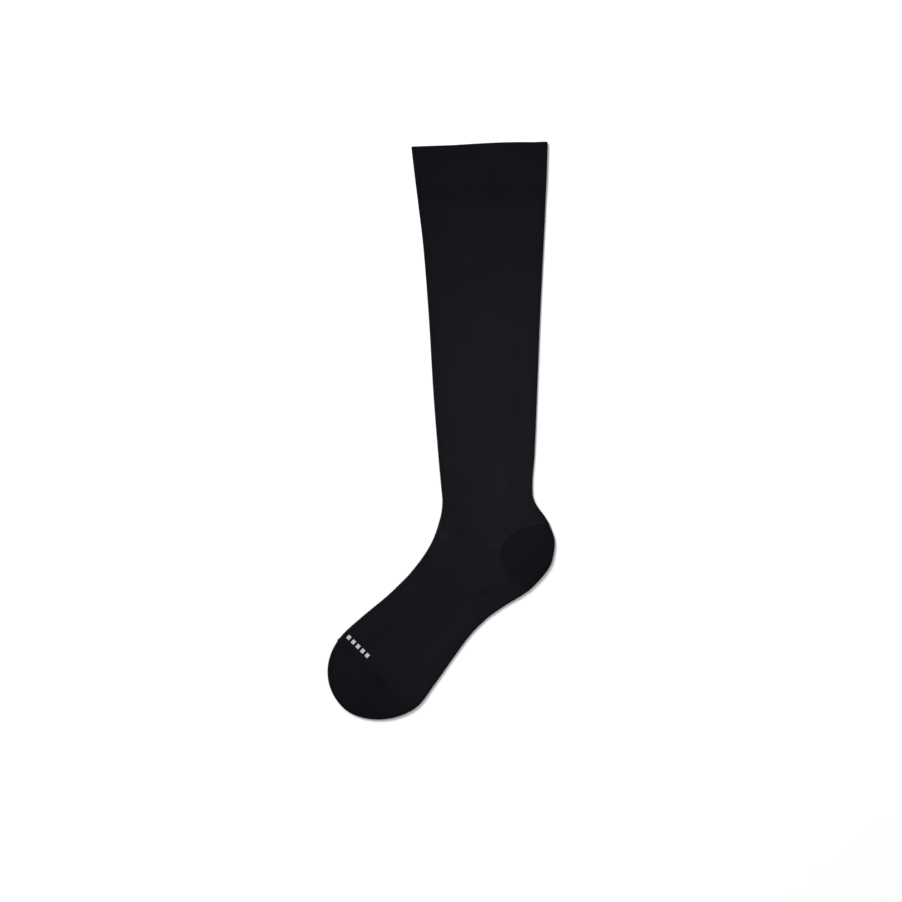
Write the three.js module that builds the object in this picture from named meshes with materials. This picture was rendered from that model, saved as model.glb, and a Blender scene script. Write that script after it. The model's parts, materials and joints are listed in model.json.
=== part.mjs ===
// A knee-high compression stocking, knitted in one piece and laid flat on its side.
// The cloth is one hollow tube: a near side and a far side that lie on each other,
// joined by the folds at shin and calf, open at the rim and closed at the toe.
// Millimetres, +Z up. The stocking lies on the plane z = 0 with its leg along +Y,
// its toes at the lower left, and its origin under the middle of its outline.
import * as THREE from "three";

// Driving dimensions of the laid garment.
// A middle line runs down the leg, round the ankle and along the foot.
const LEG_LENGTH = 295.5; // from the rim to where the ankle begins to bend
const BEND_RADIUS = 137; // of the middle line round the ankle, centred in front of it
const BEND_ANGLE = THREE.MathUtils.degToRad(44.4); // the foot turns this far out of line
const BEND_END = LEG_LENGTH + BEND_RADIUS * BEND_ANGLE;
const TOE_START = BEND_END + 64.7; // where the outline begins to round off
const TOE_LENGTH = 46.2; // from there to the tip
const TIP = TOE_START + TOE_LENGTH;
const TOE_FULLNESS = { front: 2.1, back: 1.75 }; // 2 would make a quarter of an ellipse
const TOE_SPARE = 3; // cloth in front of the inside at the tip

// Sections of the laid tube, each across the middle line.
// at: distance from the rim along the middle line. front: from that line to the fold
// on the shin and instep. back: to the fold on the calf, heel and sole.
// wall: thickness of the knit. gap: room between the near and the far side.
const SECTIONS = [
  { name: "rim", at: 0, front: 62.9, back: 50.4, wall: 1.7, gap: 1.2 },
  { name: "foot of the welt", at: 38.2, front: 58.5, back: 49.3, wall: 1.7, gap: 0.8 },
  { name: "under the welt", at: 41.5, front: 58.0, back: 49.1, wall: 1.15, gap: 0.8 },
  { name: "upper calf", at: 84.7, front: 53.0, back: 47.0, wall: 1.15, gap: 0.6 },
  { name: "calf", at: 146.1, front: 48.2, back: 44.0, wall: 1.15, gap: 0.6 },
  { name: "lower calf", at: 205.8, front: 44.6, back: 41.7, wall: 1.15, gap: 0.6 },
  { name: "above the ankle", at: 259.0, front: 40.4, back: 39.4, wall: 1.2, gap: 0.6 },
  { name: "narrowest", at: 282.2, front: 38.3, back: 37.7, wall: 1.2, gap: 0.7 },
  { name: "tendon", at: 290.5, front: 37.5, back: 37.9, wall: 1.2, gap: 0.7 },
  { name: "start of the bend", at: 295.5, front: 37.1, back: 39.2, wall: 1.25, gap: 0.8 },
  { name: "heel top", at: 309.9, front: 37.4, back: 52.8, wall: 1.4, gap: 1.0 },
  { name: "heel back", at: 321.1, front: 38.2, back: 59.8, wall: 1.5, gap: 1.2 },
  { name: "heel", at: 330.4, front: 38.7, back: 60.7, wall: 1.5, gap: 1.3 },
  { name: "heel base", at: 346.9, front: 39.6, back: 53.7, wall: 1.5, gap: 1.1 },
  { name: "start of the arch", at: 370.1, front: 41.2, back: 36.5, wall: 1.3, gap: 0.8 },
  { name: "arch", at: 382.7, front: 41.8, back: 31.0, wall: 1.25, gap: 0.7 },
  { name: "narrowest foot", at: 394.4, front: 42.0, back: 29.4, wall: 1.25, gap: 0.7 },
  { name: "instep", at: 414.7, front: 42.4, back: 31.9, wall: 1.25, gap: 0.7 },
  { name: "ball", at: 448.4, front: 45.6, back: 37.3, wall: 1.3, gap: 0.8 },
  { name: "start of the toe", at: TOE_START, front: 46.8, back: 39.6, wall: 1.45, gap: 1.1 },
];

// The rim runs a little askew, and the far side shows past the near side there.
const RIM_SKEW = 4.1; // the fold at the shin lies this much lower than that at the calf
const RIM_PEEK = 2.4; // how far the far side would reach past at the fold
const RIM_FADE = 90; // down the leg, where both have died out

// Where the heel pocket is let into the tube. off: distance from the middle line
// towards the back. reach and spread: depth and half width of the wedge.
const HEEL = { at: 330.4, apex: 17.4, reach: 45, spread: 22, puff: 0.9 };

// The seam over the toes, from the instep fold as far as end.
const TOE_SEAM = { at: 475, end: 5.5, width: 1.6, height: 0.55 };

// Soft ridges (height above 0) and troughs (below 0) of the near side, as it lies.
// turn: degrees from the middle line's direction towards the back.
const FOLDS = [
  { name: "calf swell", at: 150, off: 4, turn: 0, along: 75, across: 22, height: 0.35 },
  { name: "dip under the welt", at: 52, off: -10, turn: 84, along: 38, across: 6, height: -0.2 },
  { name: "ridge above the heel", at: 282, off: 14, turn: 0, along: 42, across: 7, height: 0.45 },
  { name: "trough beside it", at: 286, off: 25, turn: -3, along: 30, across: 6, height: -0.25 },
  { name: "tendon crease", at: 300, off: 33, turn: 38, along: 15, across: 3, height: -0.3 },
  { name: "instep crease", at: 309, off: -27, turn: 62, along: 14, across: 3, height: -0.25 },
  { name: "second one", at: 327, off: -30, turn: 78, along: 17, across: 3.5, height: -0.3 },
  { name: "instep swell", at: 352, off: -14, turn: 0, along: 30, across: 16, height: 0.4 },
  { name: "arch crease", at: 372, off: 17, turn: -42, along: 15, across: 3.5, height: -0.25 },
  { name: "foot ridge", at: 425, off: -4, turn: 2, along: 40, across: 13, height: 0.35 },
  { name: "toe pocket", at: 490, off: -3, turn: 0, along: 17, across: 26, height: 0.9 },
];
const FOLDS_FADE = 9; // the height that they keep dies out this near to the outline

// How finely the cloth is divided.
const OUTER_STEPS = { leg: 26, bend: 28, foot: 10, toe: 13 };
const INNER_STEPS = { leg: 13, bend: 16, foot: 6, toe: 7 };
const FLAT_STEPS = 12; // across each side, between the two folds
const FOLD_STEPS = 3; // round a quarter of each fold
const OUTLINE_POINTS = 150; // on each fold, for measuring distances from it

// The edge of the rim. at: distance down from the rim, and depth: how far through the
// wall the edge has turned, from its outer to its inner face.
const RIM_EDGE = [
  { at: 0.8, depth: 0 },
  { at: 0.2, depth: 0.2 },
  { at: 0, depth: 0.5 },
  { at: 0.2, depth: 0.8 },
  { at: 0.8, depth: 1 },
];

const { clamp, degToRad, lerp, smoothstep } = THREE.MathUtils;

// A smooth curve through one column of the sections: cubic, with its slope at each row
// worked out from its neighbours and held back where that would overshoot.
function columnCurve(column) {
  const x = SECTIONS.map((row) => row.at);
  const y = SECTIONS.map((row) => row[column]);
  const rise = x.slice(1).map((end, i) => (y[i + 1] - y[i]) / (end - x[i]));
  const slope = x.map((_, i) => {
    const before = rise[i - 1] ?? rise[i];
    const after = rise[i] ?? 0;
    return before * after <= 0 ? 0 : (2 * before * after) / (before + after);
  });
  return (at) => {
    const i = clamp(x.findLastIndex((edge) => edge <= at), 0, x.length - 2);
    const width = x[i + 1] - x[i];
    const t = clamp((at - x[i]) / width, 0, 1);
    const ease = t * t * (3 - 2 * t);
    const leave = t * (1 - t) ** 2 * width * slope[i];
    const arrive = t * t * (t - 1) * width * slope[i + 1];
    return lerp(y[i], y[i + 1], ease) + leave + arrive;
  };
}

const frontAt = columnCurve("front");
const backAt = columnCurve("back");
const wallAt = columnCurve("wall");
const gapAt = columnCurve("gap");

// The two folds at a section, moved in by an inset. Past TOE_START each closes in on the
// tip as a quarter of an ellipse, squarer or slimmer by its fullness.
function foldsAt(at, inset = 0) {
  const middle = (backAt(at) - frontAt(at)) / 2;
  const half = (backAt(at) + frontAt(at)) / 2 - inset;
  const share = clamp((at - TOE_START) / (TOE_LENGTH - inset), 0, 1);
  const left = (fullness) => half * (1 - share ** fullness) ** (1 / fullness);
  return [middle - left(TOE_FULLNESS.front), middle + left(TOE_FULLNESS.back)];
}

// The place in plan that lies at a distance along the middle line and off to its back.
function inPlan(at, off) {
  const turned = clamp((at - LEG_LENGTH) / BEND_RADIUS, 0, BEND_ANGLE);
  const along = at < LEG_LENGTH ? at - LEG_LENGTH : Math.max(at - BEND_END, 0);
  const out = BEND_RADIUS + off;
  const x = out * Math.cos(turned) - along * Math.sin(turned);
  const y = -out * Math.sin(turned) - along * Math.cos(turned);
  return new THREE.Vector2(x, y);
}

// The outline in plan, as short straight pieces down each fold.
const outline = [0, 1].map((side) =>
  Array.from({ length: OUTLINE_POINTS + 1 }, (_, i) => {
    const at = TIP * Math.sin(((i / OUTLINE_POINTS) * Math.PI) / 2);
    return inPlan(at, foldsAt(at)[side]);
  }),
);

function distanceFromFolds(place) {
  let least = Infinity;
  for (const line of outline) {
    for (let i = 1; i < line.length; i++) {
      const run = line[i].clone().sub(line[i - 1]);
      const to = place.clone().sub(line[i - 1]);
      const share = clamp(to.dot(run) / run.lengthSq(), 0, 1);
      least = Math.min(least, to.addScaledVector(run, -share).length());
    }
  }
  return least;
}

// A soft hill: full height in the middle, and gone at about two widths from it.
function hill(at, off, fold) {
  const angle = degToRad(fold.turn);
  const [x, y] = [at - fold.at, off - fold.off];
  const u = (x * Math.cos(angle) + y * Math.sin(angle)) / fold.along;
  const v = (y * Math.cos(angle) - x * Math.sin(angle)) / fold.across;
  return fold.height * Math.exp(-(u * u + v * v));
}

// The heel pocket's extra room: a wedge that opens from its apex to the back fold.
function heelPuff(at, off) {
  const depth = (off - HEEL.apex) / HEEL.reach;
  const halfWidth = HEEL.spread * (0.35 + Math.max(depth, 0));
  const aside = Math.abs(at - HEEL.at) / halfWidth;
  return HEEL.puff * smoothstep(depth, 0, 0.35) * (1 - smoothstep(aside, 0.45, 1.15));
}

// The linked seam over the toes: a low ridge from the instep fold to the middle.
function toeSeam(at, off) {
  const across = (at - TOE_SEAM.at) / TOE_SEAM.width;
  const kept = 1 - smoothstep(off, TOE_SEAM.end - 3, TOE_SEAM.end + 1);
  return TOE_SEAM.height * kept * Math.exp(-across * across);
}

// Heights of the cloth at a place. depth 0 is the outer face of each side, and 1 the
// inner face. The seam is raised on the outer face alone.
function heightAt(at, off, depth, upper) {
  const wall = wallAt(at);
  const middle = wall + gapAt(at) / 2;
  const near = distanceFromFolds(inPlan(at, off));
  const rounding = 1 - clamp(near / middle, 0, 1);
  const half = middle * Math.sqrt(1 - rounding * rounding) - depth * wall;
  if (!upper) return middle - half;
  const soft = FOLDS.reduce((sum, fold) => sum + hill(at, off, fold), heelPuff(at, off));
  const raised = soft + (1 - depth) * toeSeam(at, off);
  return middle + half + raised * smoothstep(near, 0.5, FOLDS_FADE);
}

// The inside lies this far in from the outline: the wall, and its turn at the fold.
const insideInset = (at) => wallAt(at) + 0.25;

// Places across a section as shares of its half width: close at the folds, then even.
function acrossShares(half, rounding) {
  const turn = Array.from({ length: FOLD_STEPS }, (_, i) => {
    const angle = ((i / FOLD_STEPS) * Math.PI) / 2;
    return 1 - (rounding * (1 - Math.cos(angle))) / half;
  });
  const flat = 1 - rounding / half;
  const evenly = Array.from({ length: FLAT_STEPS + 1 }, (_, i) =>
    lerp(-flat, flat, i / FLAT_STEPS),
  );
  return [...turn.map((share) => -share), ...evenly, ...turn.reverse()];
}

// One ring round the tube: over the near side from front to back, and home under the far
// side. depth says how far through the wall it lies.
function ring(at, depth = 0) {
  const [front, back] = foldsAt(at, depth * insideInset(at));
  const [middle, half] = [(front + back) / 2, (back - front) / 2];
  const rounding = Math.min(wallAt(at) + gapAt(at) / 2, half * 0.6);
  const shares = acrossShares(half, rounding);
  const fade = 1 - smoothstep(at, 0, RIM_FADE);
  const point = (share, upper) => {
    const off = middle + share * half;
    const skew = (-RIM_SKEW / 2) * share * fade;
    const far = (1 + share) / 2;
    const peek = upper ? 0 : -RIM_PEEK * far * Math.sin(far * Math.PI) * fade;
    const place = inPlan(at + skew + peek, off);
    const onFold = Math.abs(share) === 1;
    const z = onFold ? wallAt(at) + gapAt(at) / 2 : heightAt(at, off, depth, upper);
    return new THREE.Vector3(place.x, place.y, z);
  };
  const over = shares.map((share) => point(share, true));
  const under = shares.slice(1, -1).map((share) => point(share, false));
  return [...over, ...under.reverse()];
}

// The tip of the outer or the inner face, where all of a ring comes together.
function tipPoint(at) {
  const place = inPlan(at, (backAt(at) - frontAt(at)) / 2);
  return new THREE.Vector3(place.x, place.y, wallAt(at) + gapAt(at) / 2);
}

// Distances from the rim at which the rings are taken, up to but without the tip.
function stations(steps, start, tip) {
  const evenly = (from, to, count) =>
    Array.from({ length: count }, (_, i) => lerp(from, to, i / count));
  const closing = Array.from({ length: steps.toe }, (_, i) =>
    lerp(TOE_START, tip, Math.sin(((i / steps.toe) * Math.PI) / 2)),
  );
  return [
    ...evenly(start, LEG_LENGTH, steps.leg),
    ...evenly(LEG_LENGTH, BEND_END, steps.bend),
    ...evenly(BEND_END, TOE_START, steps.foot),
    ...closing,
  ];
}

// Joins rings of equal length, in order, into one closed surface from tip to tip.
function skin(firstTip, rings, lastTip) {
  const count = rings[0].length;
  const points = [firstTip, ...rings.flat(), lastTip];
  const last = points.length - 1;
  const index = (r, i) => 1 + r * count + (i % count);
  const faces = [];
  for (let i = 0; i < count; i++) {
    faces.push(0, index(0, i), index(0, i + 1));
    faces.push(last, index(rings.length - 1, i + 1), index(rings.length - 1, i));
  }
  for (let r = 0; r + 1 < rings.length; r++) {
    for (let i = 0; i < count; i++) {
      const [a, b] = [index(r, i), index(r, i + 1)];
      faces.push(a, a + count, b, b, a + count, b + count);
    }
  }
  const geometry = new THREE.BufferGeometry();
  const positions = points.flatMap((point) => point.toArray());
  geometry.setAttribute("position", new THREE.Float32BufferAttribute(positions, 3));
  geometry.setIndex(faces);
  return geometry;
}

// The knitted tube: up the inside from the toe, over the rim, and down the outside.
function stockingGeometry() {
  const innerTip = TIP - insideInset(TIP) - TOE_SPARE;
  const body = RIM_EDGE[0].at;
  const inside = stations(INNER_STEPS, body, innerTip).map((at) => ring(at, 1));
  const outside = stations(OUTER_STEPS, body, TIP).map((at) => ring(at));
  const edge = RIM_EDGE.slice(1, -1).map((row) => ring(row.at, row.depth));
  const rings = [...inside.reverse(), ...edge.reverse(), ...outside];
  return skin(tipPoint(innerTip), rings, tipPoint(TIP));
}

const knit = new THREE.MeshStandardMaterial({
  name: "black_knit",
  color: new THREE.Color(0.024, 0.024, 0.028),
  roughness: 0.92,
  metalness: 0,
});

const stocking = new THREE.Mesh(stockingGeometry(), knit);
stocking.name = "stocking";

// The origin is under the middle of the outline, on the plane that the cloth rests on.
stocking.geometry.computeBoundingBox();
const middle = stocking.geometry.boundingBox.getCenter(new THREE.Vector3());
stocking.position.set(-middle.x, -middle.y, 0);

const garment = new THREE.Group();
garment.add(stocking);

export default garment;
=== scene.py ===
"""Knit a black knee-high compression stocking, laid flat on its side, as five zones of one cloth."""
import json
import math
from typing import NamedTuple

import bpy
import numpy as np
from bpy.props import FloatProperty, FloatVectorProperty, IntProperty, PointerProperty
from bpy.types import Operator, Panel, PropertyGroup
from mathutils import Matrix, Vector

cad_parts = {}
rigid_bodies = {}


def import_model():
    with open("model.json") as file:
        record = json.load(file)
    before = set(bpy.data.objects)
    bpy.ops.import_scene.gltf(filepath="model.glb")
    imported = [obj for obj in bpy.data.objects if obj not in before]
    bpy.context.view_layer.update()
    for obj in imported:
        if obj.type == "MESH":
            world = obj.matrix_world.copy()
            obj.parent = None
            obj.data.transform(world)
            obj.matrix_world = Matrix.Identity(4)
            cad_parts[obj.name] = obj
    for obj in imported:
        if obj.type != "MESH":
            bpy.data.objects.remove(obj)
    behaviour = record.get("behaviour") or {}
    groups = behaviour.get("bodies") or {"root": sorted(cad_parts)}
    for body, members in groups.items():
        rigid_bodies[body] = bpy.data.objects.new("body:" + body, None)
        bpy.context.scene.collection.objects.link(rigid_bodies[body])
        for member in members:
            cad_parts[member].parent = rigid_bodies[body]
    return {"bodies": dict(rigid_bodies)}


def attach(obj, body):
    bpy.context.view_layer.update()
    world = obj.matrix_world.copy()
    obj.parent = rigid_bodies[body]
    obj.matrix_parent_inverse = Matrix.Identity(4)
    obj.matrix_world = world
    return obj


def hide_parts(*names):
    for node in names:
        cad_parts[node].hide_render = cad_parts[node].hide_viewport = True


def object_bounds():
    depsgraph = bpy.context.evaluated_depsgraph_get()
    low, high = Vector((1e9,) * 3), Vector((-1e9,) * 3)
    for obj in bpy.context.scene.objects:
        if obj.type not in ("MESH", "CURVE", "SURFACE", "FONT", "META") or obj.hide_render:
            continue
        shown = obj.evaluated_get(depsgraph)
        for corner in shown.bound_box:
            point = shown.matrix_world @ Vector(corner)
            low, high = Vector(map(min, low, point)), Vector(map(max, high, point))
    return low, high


bl_info = {
    "name": "Compression Stocking",
    "version": (1, 0, 0),
    "blender": (4, 5, 0),
    "location": "View3D > Sidebar > Stocking",
    "description": "Knits a knee-high compression stocking, laid flat on a pale floor",
    "category": "Add Mesh",
}

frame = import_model()
CAD_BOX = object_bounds()
NODE = "stocking"
BODY = next(iter(frame["bodies"]))

# All lengths but the room's are in millimetres, and MM makes them metres.
MM = 0.001
LEAST = 1e-4  # least half width of the tube and least turn of a fold
TINY = 1e-12  # least divisor

# The middle line of the laid tube: down the leg, round the ankle and along the foot.
LEG_LENGTH = 295.5
BEND_RADIUS = 137.0
BEND_ANGLE = math.radians(44.4)
BEND_END = LEG_LENGTH + BEND_RADIUS * BEND_ANGLE
TOE_START = BEND_END + 64.7
TOE_LENGTH = 46.2
TIP = TOE_START + TOE_LENGTH
TOE_FULLNESS = (2.1, 1.75)  # of the toe's outline at the front and at the back


class Section(NamedTuple):
    """A section across the middle line.

    at: its distance from the rim. front and back: from the middle line to the folds at the
    shin and at the calf. wall: thickness of the knit. gap: room between the two sides.
    """

    at: float
    front: float
    back: float
    wall: float
    gap: float


SECTIONS = (
    (0, 62.9, 50.4, 1.7, 1.2),  # rim
    (30.0, 59.4, 49.5, 1.7, 0.9),  # the welt thins from here
    (52.0, 56.8, 48.6, 1.15, 0.75),  # under the welt
    (84.7, 53.0, 47.0, 1.15, 0.6),  # upper calf
    (146.1, 48.2, 44.0, 1.15, 0.6),  # calf
    (205.8, 44.6, 41.7, 1.15, 0.6),  # lower calf
    (259.0, 40.4, 39.4, 1.2, 0.6),  # above the ankle
    (282.2, 38.3, 37.7, 1.2, 0.7),  # narrowest
    (290.5, 37.5, 37.9, 1.2, 0.7),  # tendon
    (295.5, 37.1, 39.2, 1.25, 0.8),  # start of the bend
    (309.9, 37.4, 52.8, 1.4, 1.0),  # heel top
    (321.1, 38.2, 59.8, 1.5, 1.2),  # heel back
    (330.4, 38.7, 60.7, 1.5, 1.3),  # heel
    (346.9, 39.6, 53.7, 1.5, 1.1),  # heel base
    (370.1, 41.2, 36.5, 1.3, 0.8),  # start of the arch
    (382.7, 41.8, 31.0, 1.25, 0.7),  # arch
    (394.4, 42.0, 29.4, 1.25, 0.7),  # narrowest foot
    (414.7, 42.4, 31.9, 1.25, 0.7),  # instep
    (448.4, 45.6, 37.3, 1.3, 0.8),  # ball
    (TOE_START, 46.8, 39.6, 1.45, 1.1),  # start of the toe
)
WELT_THINS = 30.0  # the welt's double wall thins softly between these two
WELT_THIN = 52.0

# The folds at the shin and at the calf, which the knit turns round.
FOLD_TURN = 0.998  # share of a quarter turn, so that the two sides never touch
FOLD_LIMIT = 0.6  # share of the tube's half width that a turn may take
FOLD_SLACK = 0.25  # how much further in than the wall the inner face turns
FOLD_REACH = 30.0  # outline beyond a zone's ends that distances are taken to
OUTLINE_STEP = 1.5
TIP_STEPS = 60

# The rim runs askew, and the far side shows past the near side there.
RIM_SKEW = 4.1
RIM_PEEK = 2.4
RIM_FADE = 90.0
RIM_STEPS = 201
# The turned edge of the rim, from the outer face to the inner one: distance down from it,
# and how far through the wall.
RIM_EDGE = ((0.9, 0.0), (0.45, 0.06), (0.15, 0.2), (0.0, 0.5), (0.15, 0.8), (0.6, 1.0))

# The heel pocket: a wedge that opens from its apex to the fold at the heel. spread: its
# half width there. opening: how soon it widens. puff: the extra room that it gives.
HEEL_AT = 330.8
HEEL_APEX = 16.8
HEEL_SPREAD = 25.0
HEEL_OPENING = 26.0
HEEL_PUFF = 0.9
PUFF_LENGTH = 15.75  # from the apex to the full puff
PUFF_EDGE = (-4.0, 14.0)  # it rises between these two distances inside the pocket's edge

# The toe pocket: the course where it starts, how that bows, and the linked seam that runs
# along it from the instep fold to SEAM_END.
TOE_COURSE = 476.0
TOE_BOW = 1.3
TOE_BOW_WIDTH = 14.0
SEAM_END = 6.5


class Hill(NamedTuple):
    """A soft hill on the laid cloth, or a hollow where its height is below 0.

    at and off: its middle, from the rim and from the middle line towards the back. turn: from
    the middle line towards the back. along and across: its half lengths.
    """

    at: float
    off: float
    turn: float
    along: float
    across: float
    height: float


# Ridges and troughs of the near side.
CREASES = (
    (150, 4, 0, 75, 22, 0.35),  # calf swell
    (52, -10, 84, 38, 6, -0.2),  # dip under the welt
    (64, 26, 78, 15, 4, 0.12),  # small ridge under the welt
    (72, -34, 70, 12, 3.5, -0.12),  # shin side, under the welt
    (118, -22, 12, 34, 5, -0.2),  # long trough on the shin
    (196, 22, -4, 46, 6, 0.22),  # long ridge on the calf
    (226, -16, 6, 30, 5, 0.2),  # lower shin ridge
    (240, 6, 2, 38, 5, -0.22),  # trough beside the ridge at the ankle
    (282, 14, 0, 42, 6.5, 0.75),  # ridge above the heel
    (286, 25, -3, 30, 5.5, -0.45),  # trough beside it
    (300, 33, 38, 15, 3, -0.5),  # tendon crease
    (291, 28, 24, 10, 2.2, 0.24),  # ridge over the tendon crease
    (309, -27, 62, 14, 3, -0.5),  # upper instep crease
    (318, -29, 70, 13, 2.8, 0.34),  # ridge between the instep creases
    (327, -30, 78, 17, 3.2, -0.6),  # lower instep crease
    (341, -24, 84, 12, 2.6, -0.3),  # short instep crease
    (331, 13.5, 88, 6, 3.2, 0.3),  # bright spot before the heel's apex
    (345, 17, 76, 7, 1.6, 0.22),  # short ridge under the apex
    (349, 20, 72, 6, 1.5, -0.24),  # short trough under it
    (352, -14, 0, 30, 16, 0.4),  # instep swell
    (364, 9, -30, 15, 3, -0.26),  # outer arch crease
    (372, 17, -42, 15, 3.5, -0.5),  # arch crease
    (379, 13, -46, 12, 2.6, 0.26),  # ridge beside it
    (425, -4, 2, 40, 13, 0.35),  # foot ridge
    (438, -27, 8, 16, 3, 0.2),  # instep rib
    (447, 15, -6, 20, 4, -0.2),  # sole trough
    (475, 3, 74, 12, 3, -0.65),  # curved trough over the toes
    (478, 14, 102, 9, 2.6, -0.45),  # its end towards the sole
    (487, -2.4, 60, 2.2, 1.6, -0.5),  # dimple
    (490, -3, 0, 17, 26, 0.9),  # toe pocket
    (497, -14, 40, 9, 4, -0.26),  # tip crease
)
# Troughs of the far side, which rises from the floor there and is flat elsewhere.
FAR_CREASES = (
    (58, 6, 80, 32, 5, 0.14),  # under the welt
    (132, -12, 4, 52, 6, 0.12),  # long trough on the calf
    (214, 14, -3, 44, 5, 0.14),  # long trough above the ankle
    (296, 20, 30, 16, 3.5, 0.22),  # tendon crease
    (312, -24, 64, 15, 3, 0.24),  # upper instep crease
    (330, -26, 78, 15, 3, 0.2),  # lower instep crease
    (368, 12, -40, 15, 3.5, 0.2),  # arch crease
    (430, -8, 6, 30, 5, 0.12),  # foot trough
    (477, 2, 80, 16, 3, 0.3),  # trough over the toes
)
CREASE_FADE = (0.5, 9.0)  # they die out between these two distances from the outline

# Hills of tone, mostly painted light and shade: painted highlights where ridges, creases and the lit
# side catch the lamps, and painted shade in troughs, dimples and on the side turned from them.
PAINTED_LIGHT_HILLS = (
    (130, -50, 0, 110, 20, -0.13),  # painted shade on the shin side of the leg
    (290, 8, 0, 80, 26, 0.09),  # paler over the ankle
    (276, 16, 0, 46, 5, 0.14),  # painted highlight along the ridge above the heel
    (330, 13, 90, 9, 4, 0.16),  # painted highlight before the heel's apex
    (300, -30, 20, 22, 8, -0.05),  # front of the ankle
    (334, -33, 62, 8, 3.5, 0.24),  # painted highlight on a crease at the instep
    (337, -35, 0, 20, 7, 0.1),  # broad painted highlight over the instep
    (356, -26, 70, 7, 3, 0.06),  # painted highlight on a short crease
    (396, -36, 40, 9, 4, 0.1),  # painted highlight on top of the foot
    (356, 37, 0, 9, 8, -0.06),  # painted shade under the heel
    (368, 19, -30, 13, 6, -0.12),  # painted shade at the arch
    (356, 2, 0, 26, 12, 0.06),  # instep
    (412, 17, 0, 36, 11, 0.1),  # side of the sole
    (452, -26, 0, 20, 13, -0.14),  # top of the foot
    (225, 32, 0, 60, 7, 0.07),  # back of the calf
    (258, -38, 0, 30, 7, -0.08),  # front of the ankle, above the bend
    (346, 22, 60, 14, 8, 0.08),  # beside the heel pocket
    (475.5, 4, 80, 12, 3, -0.18),  # painted shade in the trough over the toes
    (487, -2.4, 60, 3, 2, -0.16),  # painted shade in the dimple
    (470, 33, 0, 22, 6, 0.05),  # sole beside the toes
)

# The knit. One wale is one upright rib of stitches, and one course is one row.
COURSE = 0.83
WELT_FOOT = 41.5  # the welt's last course

# Slow changes of tone, and where each one ends or starts. The darkening towards the folds and on the
# inner face is painted shade.
TONE_UPPER = -0.32
TONE_UPPER_END = (WELT_FOOT, 190.0)
TONE_FOOT = -0.03
TONE_FOOT_START = (345.0, 420.0)
# Painted shade towards the folds: how much darker, and how far in from them it reaches.
FOLD_PAINTED_SHADE = -0.16
FOLD_PAINTED_SHADE_WIDTH = 7.0
INSIDE_PAINTED_SHADE = 0.45  # share that is left of the tone inside the tube: painted shade on the inner face

# How close the knit is, from 0 on the leg to 1 at the toe's tip.
CLOSE_WELT = 0.24
CLOSE_HEEL = 0.86
# The toe's comes in three slopes past its course, and less of it at the instep.
CLOSE_TOE = ((0.45, -19, 0), (0.4, -8, 2), (0.15, 8, 26))
CLOSE_INSTEP = 0.78
CLOSE_INSTEP_END = (-32.0, 2.0)
# The heel's edge is crisp over the heel, and under it wider and further out.
HEEL_SOFTENS = (333.0, 349.0)
HEEL_CRISP = 0.8
HEEL_SOFT = 5.5
HEEL_SOFT_OUT = 2.5

# The dots: where they start and end. The end slants down towards the back.
DOT_START = (WELT_FOOT, WELT_FOOT + 16)
DOT_END_SHIN = 296.0
DOT_END_OFF = -38.0
DOT_END_SLANT = 0.9
DOT_FADE = (-26.0, 8.0)
DOT_HEEL = (-1.5, 0.5)
DOT_LEVEL = 0.76
DOT_DRIFT = 0.14
DOT_WAVES = ((23.0, 17.0), (7.0, -31.0))  # how long the drift's waves are, down and over
DOT_GAP = 0.45  # how deep a gap is, as a share of a dot's height

# Ribs, as shares of the welt's: less in the pockets and on a tube narrower than RIB_WIDTH.
RIB_LEG = 0.4
RIB_FOOT = 0.12  # more on the foot
RIB_FOOT_START = (380.0, 410.0)
RIB_POCKET = -0.35
RIB_WIDTH = 60.0

# Edges of the pockets: heights, widths, and how far out the furrow beside the heel's gore is.
EDGE_WIDTH = 0.8
GORE_HEIGHT = 0.2
GORE_START = (HEEL_APEX - 3, HEEL_APEX + 3)
FURROW_DEPTH = 0.14
FURROW_OUT = 1.7
SEAM_HEIGHT = 0.6
SEAM_WIDTH = 1.2
SEAM_LOOPS = 0.25
SEAM_FADE = (SEAM_END - 3, SEAM_END + 1)
TOE_EDGE_HEIGHT = 0.16


class Zone(NamedTuple):
    """One zone of the tube, between two distances from the rim, and how finely it is divided."""

    first: float
    last: float
    near_points: int  # to each wale of the near side
    far_points: int  # to each wale of the far side
    row: float
    inner_row: float


LEG_FOOT = 301.0
HEEL_FOOT = 392.0
BALL = 458.0
ZONES = {
    "welt": Zone(RIM_EDGE[0][0], WELT_FOOT, 4, 2, 0.8, 3.5),
    "leg": Zone(WELT_FOOT, LEG_FOOT, 2, 1, COURSE, 8.0),
    "heel": Zone(LEG_FOOT, HEEL_FOOT, 2, 1, 0.6, 4.0),
    "foot": Zone(HEEL_FOOT, BALL, 2, 1, 0.7, 4.0),
    "toe": Zone(BALL, TIP, 2, 1, 0.6, 4.0),
}
CLOSING = 1.5  # rows of the closing toe, for each that its length would hold
LAST_RING = TIP - 0.01  # nearest to the tip that a ring is laid
SEAM_SHARE = 0.25  # of the way round, on each side of the wales' seam
CUT_STEPS = 400

# The yarn. Noises: their scale and detail, and how far they change its colour and height.
CLOUD = (38.0, 3.0)
CLOUD_STRENGTH = 0.22
FUZZ = (1400.0, 2.0)
FUZZ_STRENGTH = 0.5
FUZZ_HEIGHT = 0.3
LIGHTEST = 4.0  # the palest that the yarn gets, in times its own colour
DOT_EDGE = (0.05, 0.75)
GAP_PAINTED_SHADE = 0.55  # how much darker a gap is, as a share of a dot's contrast: painted shade in the gap
LEG_BULGE = 0.6  # the round of a stitch's legs, from 1, a sine, down to 0, flat
LEG_TWIST = 1.2
STRAND_DEPTH = 0.35
SHEEN_ROUGHNESS = 0.45
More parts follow.
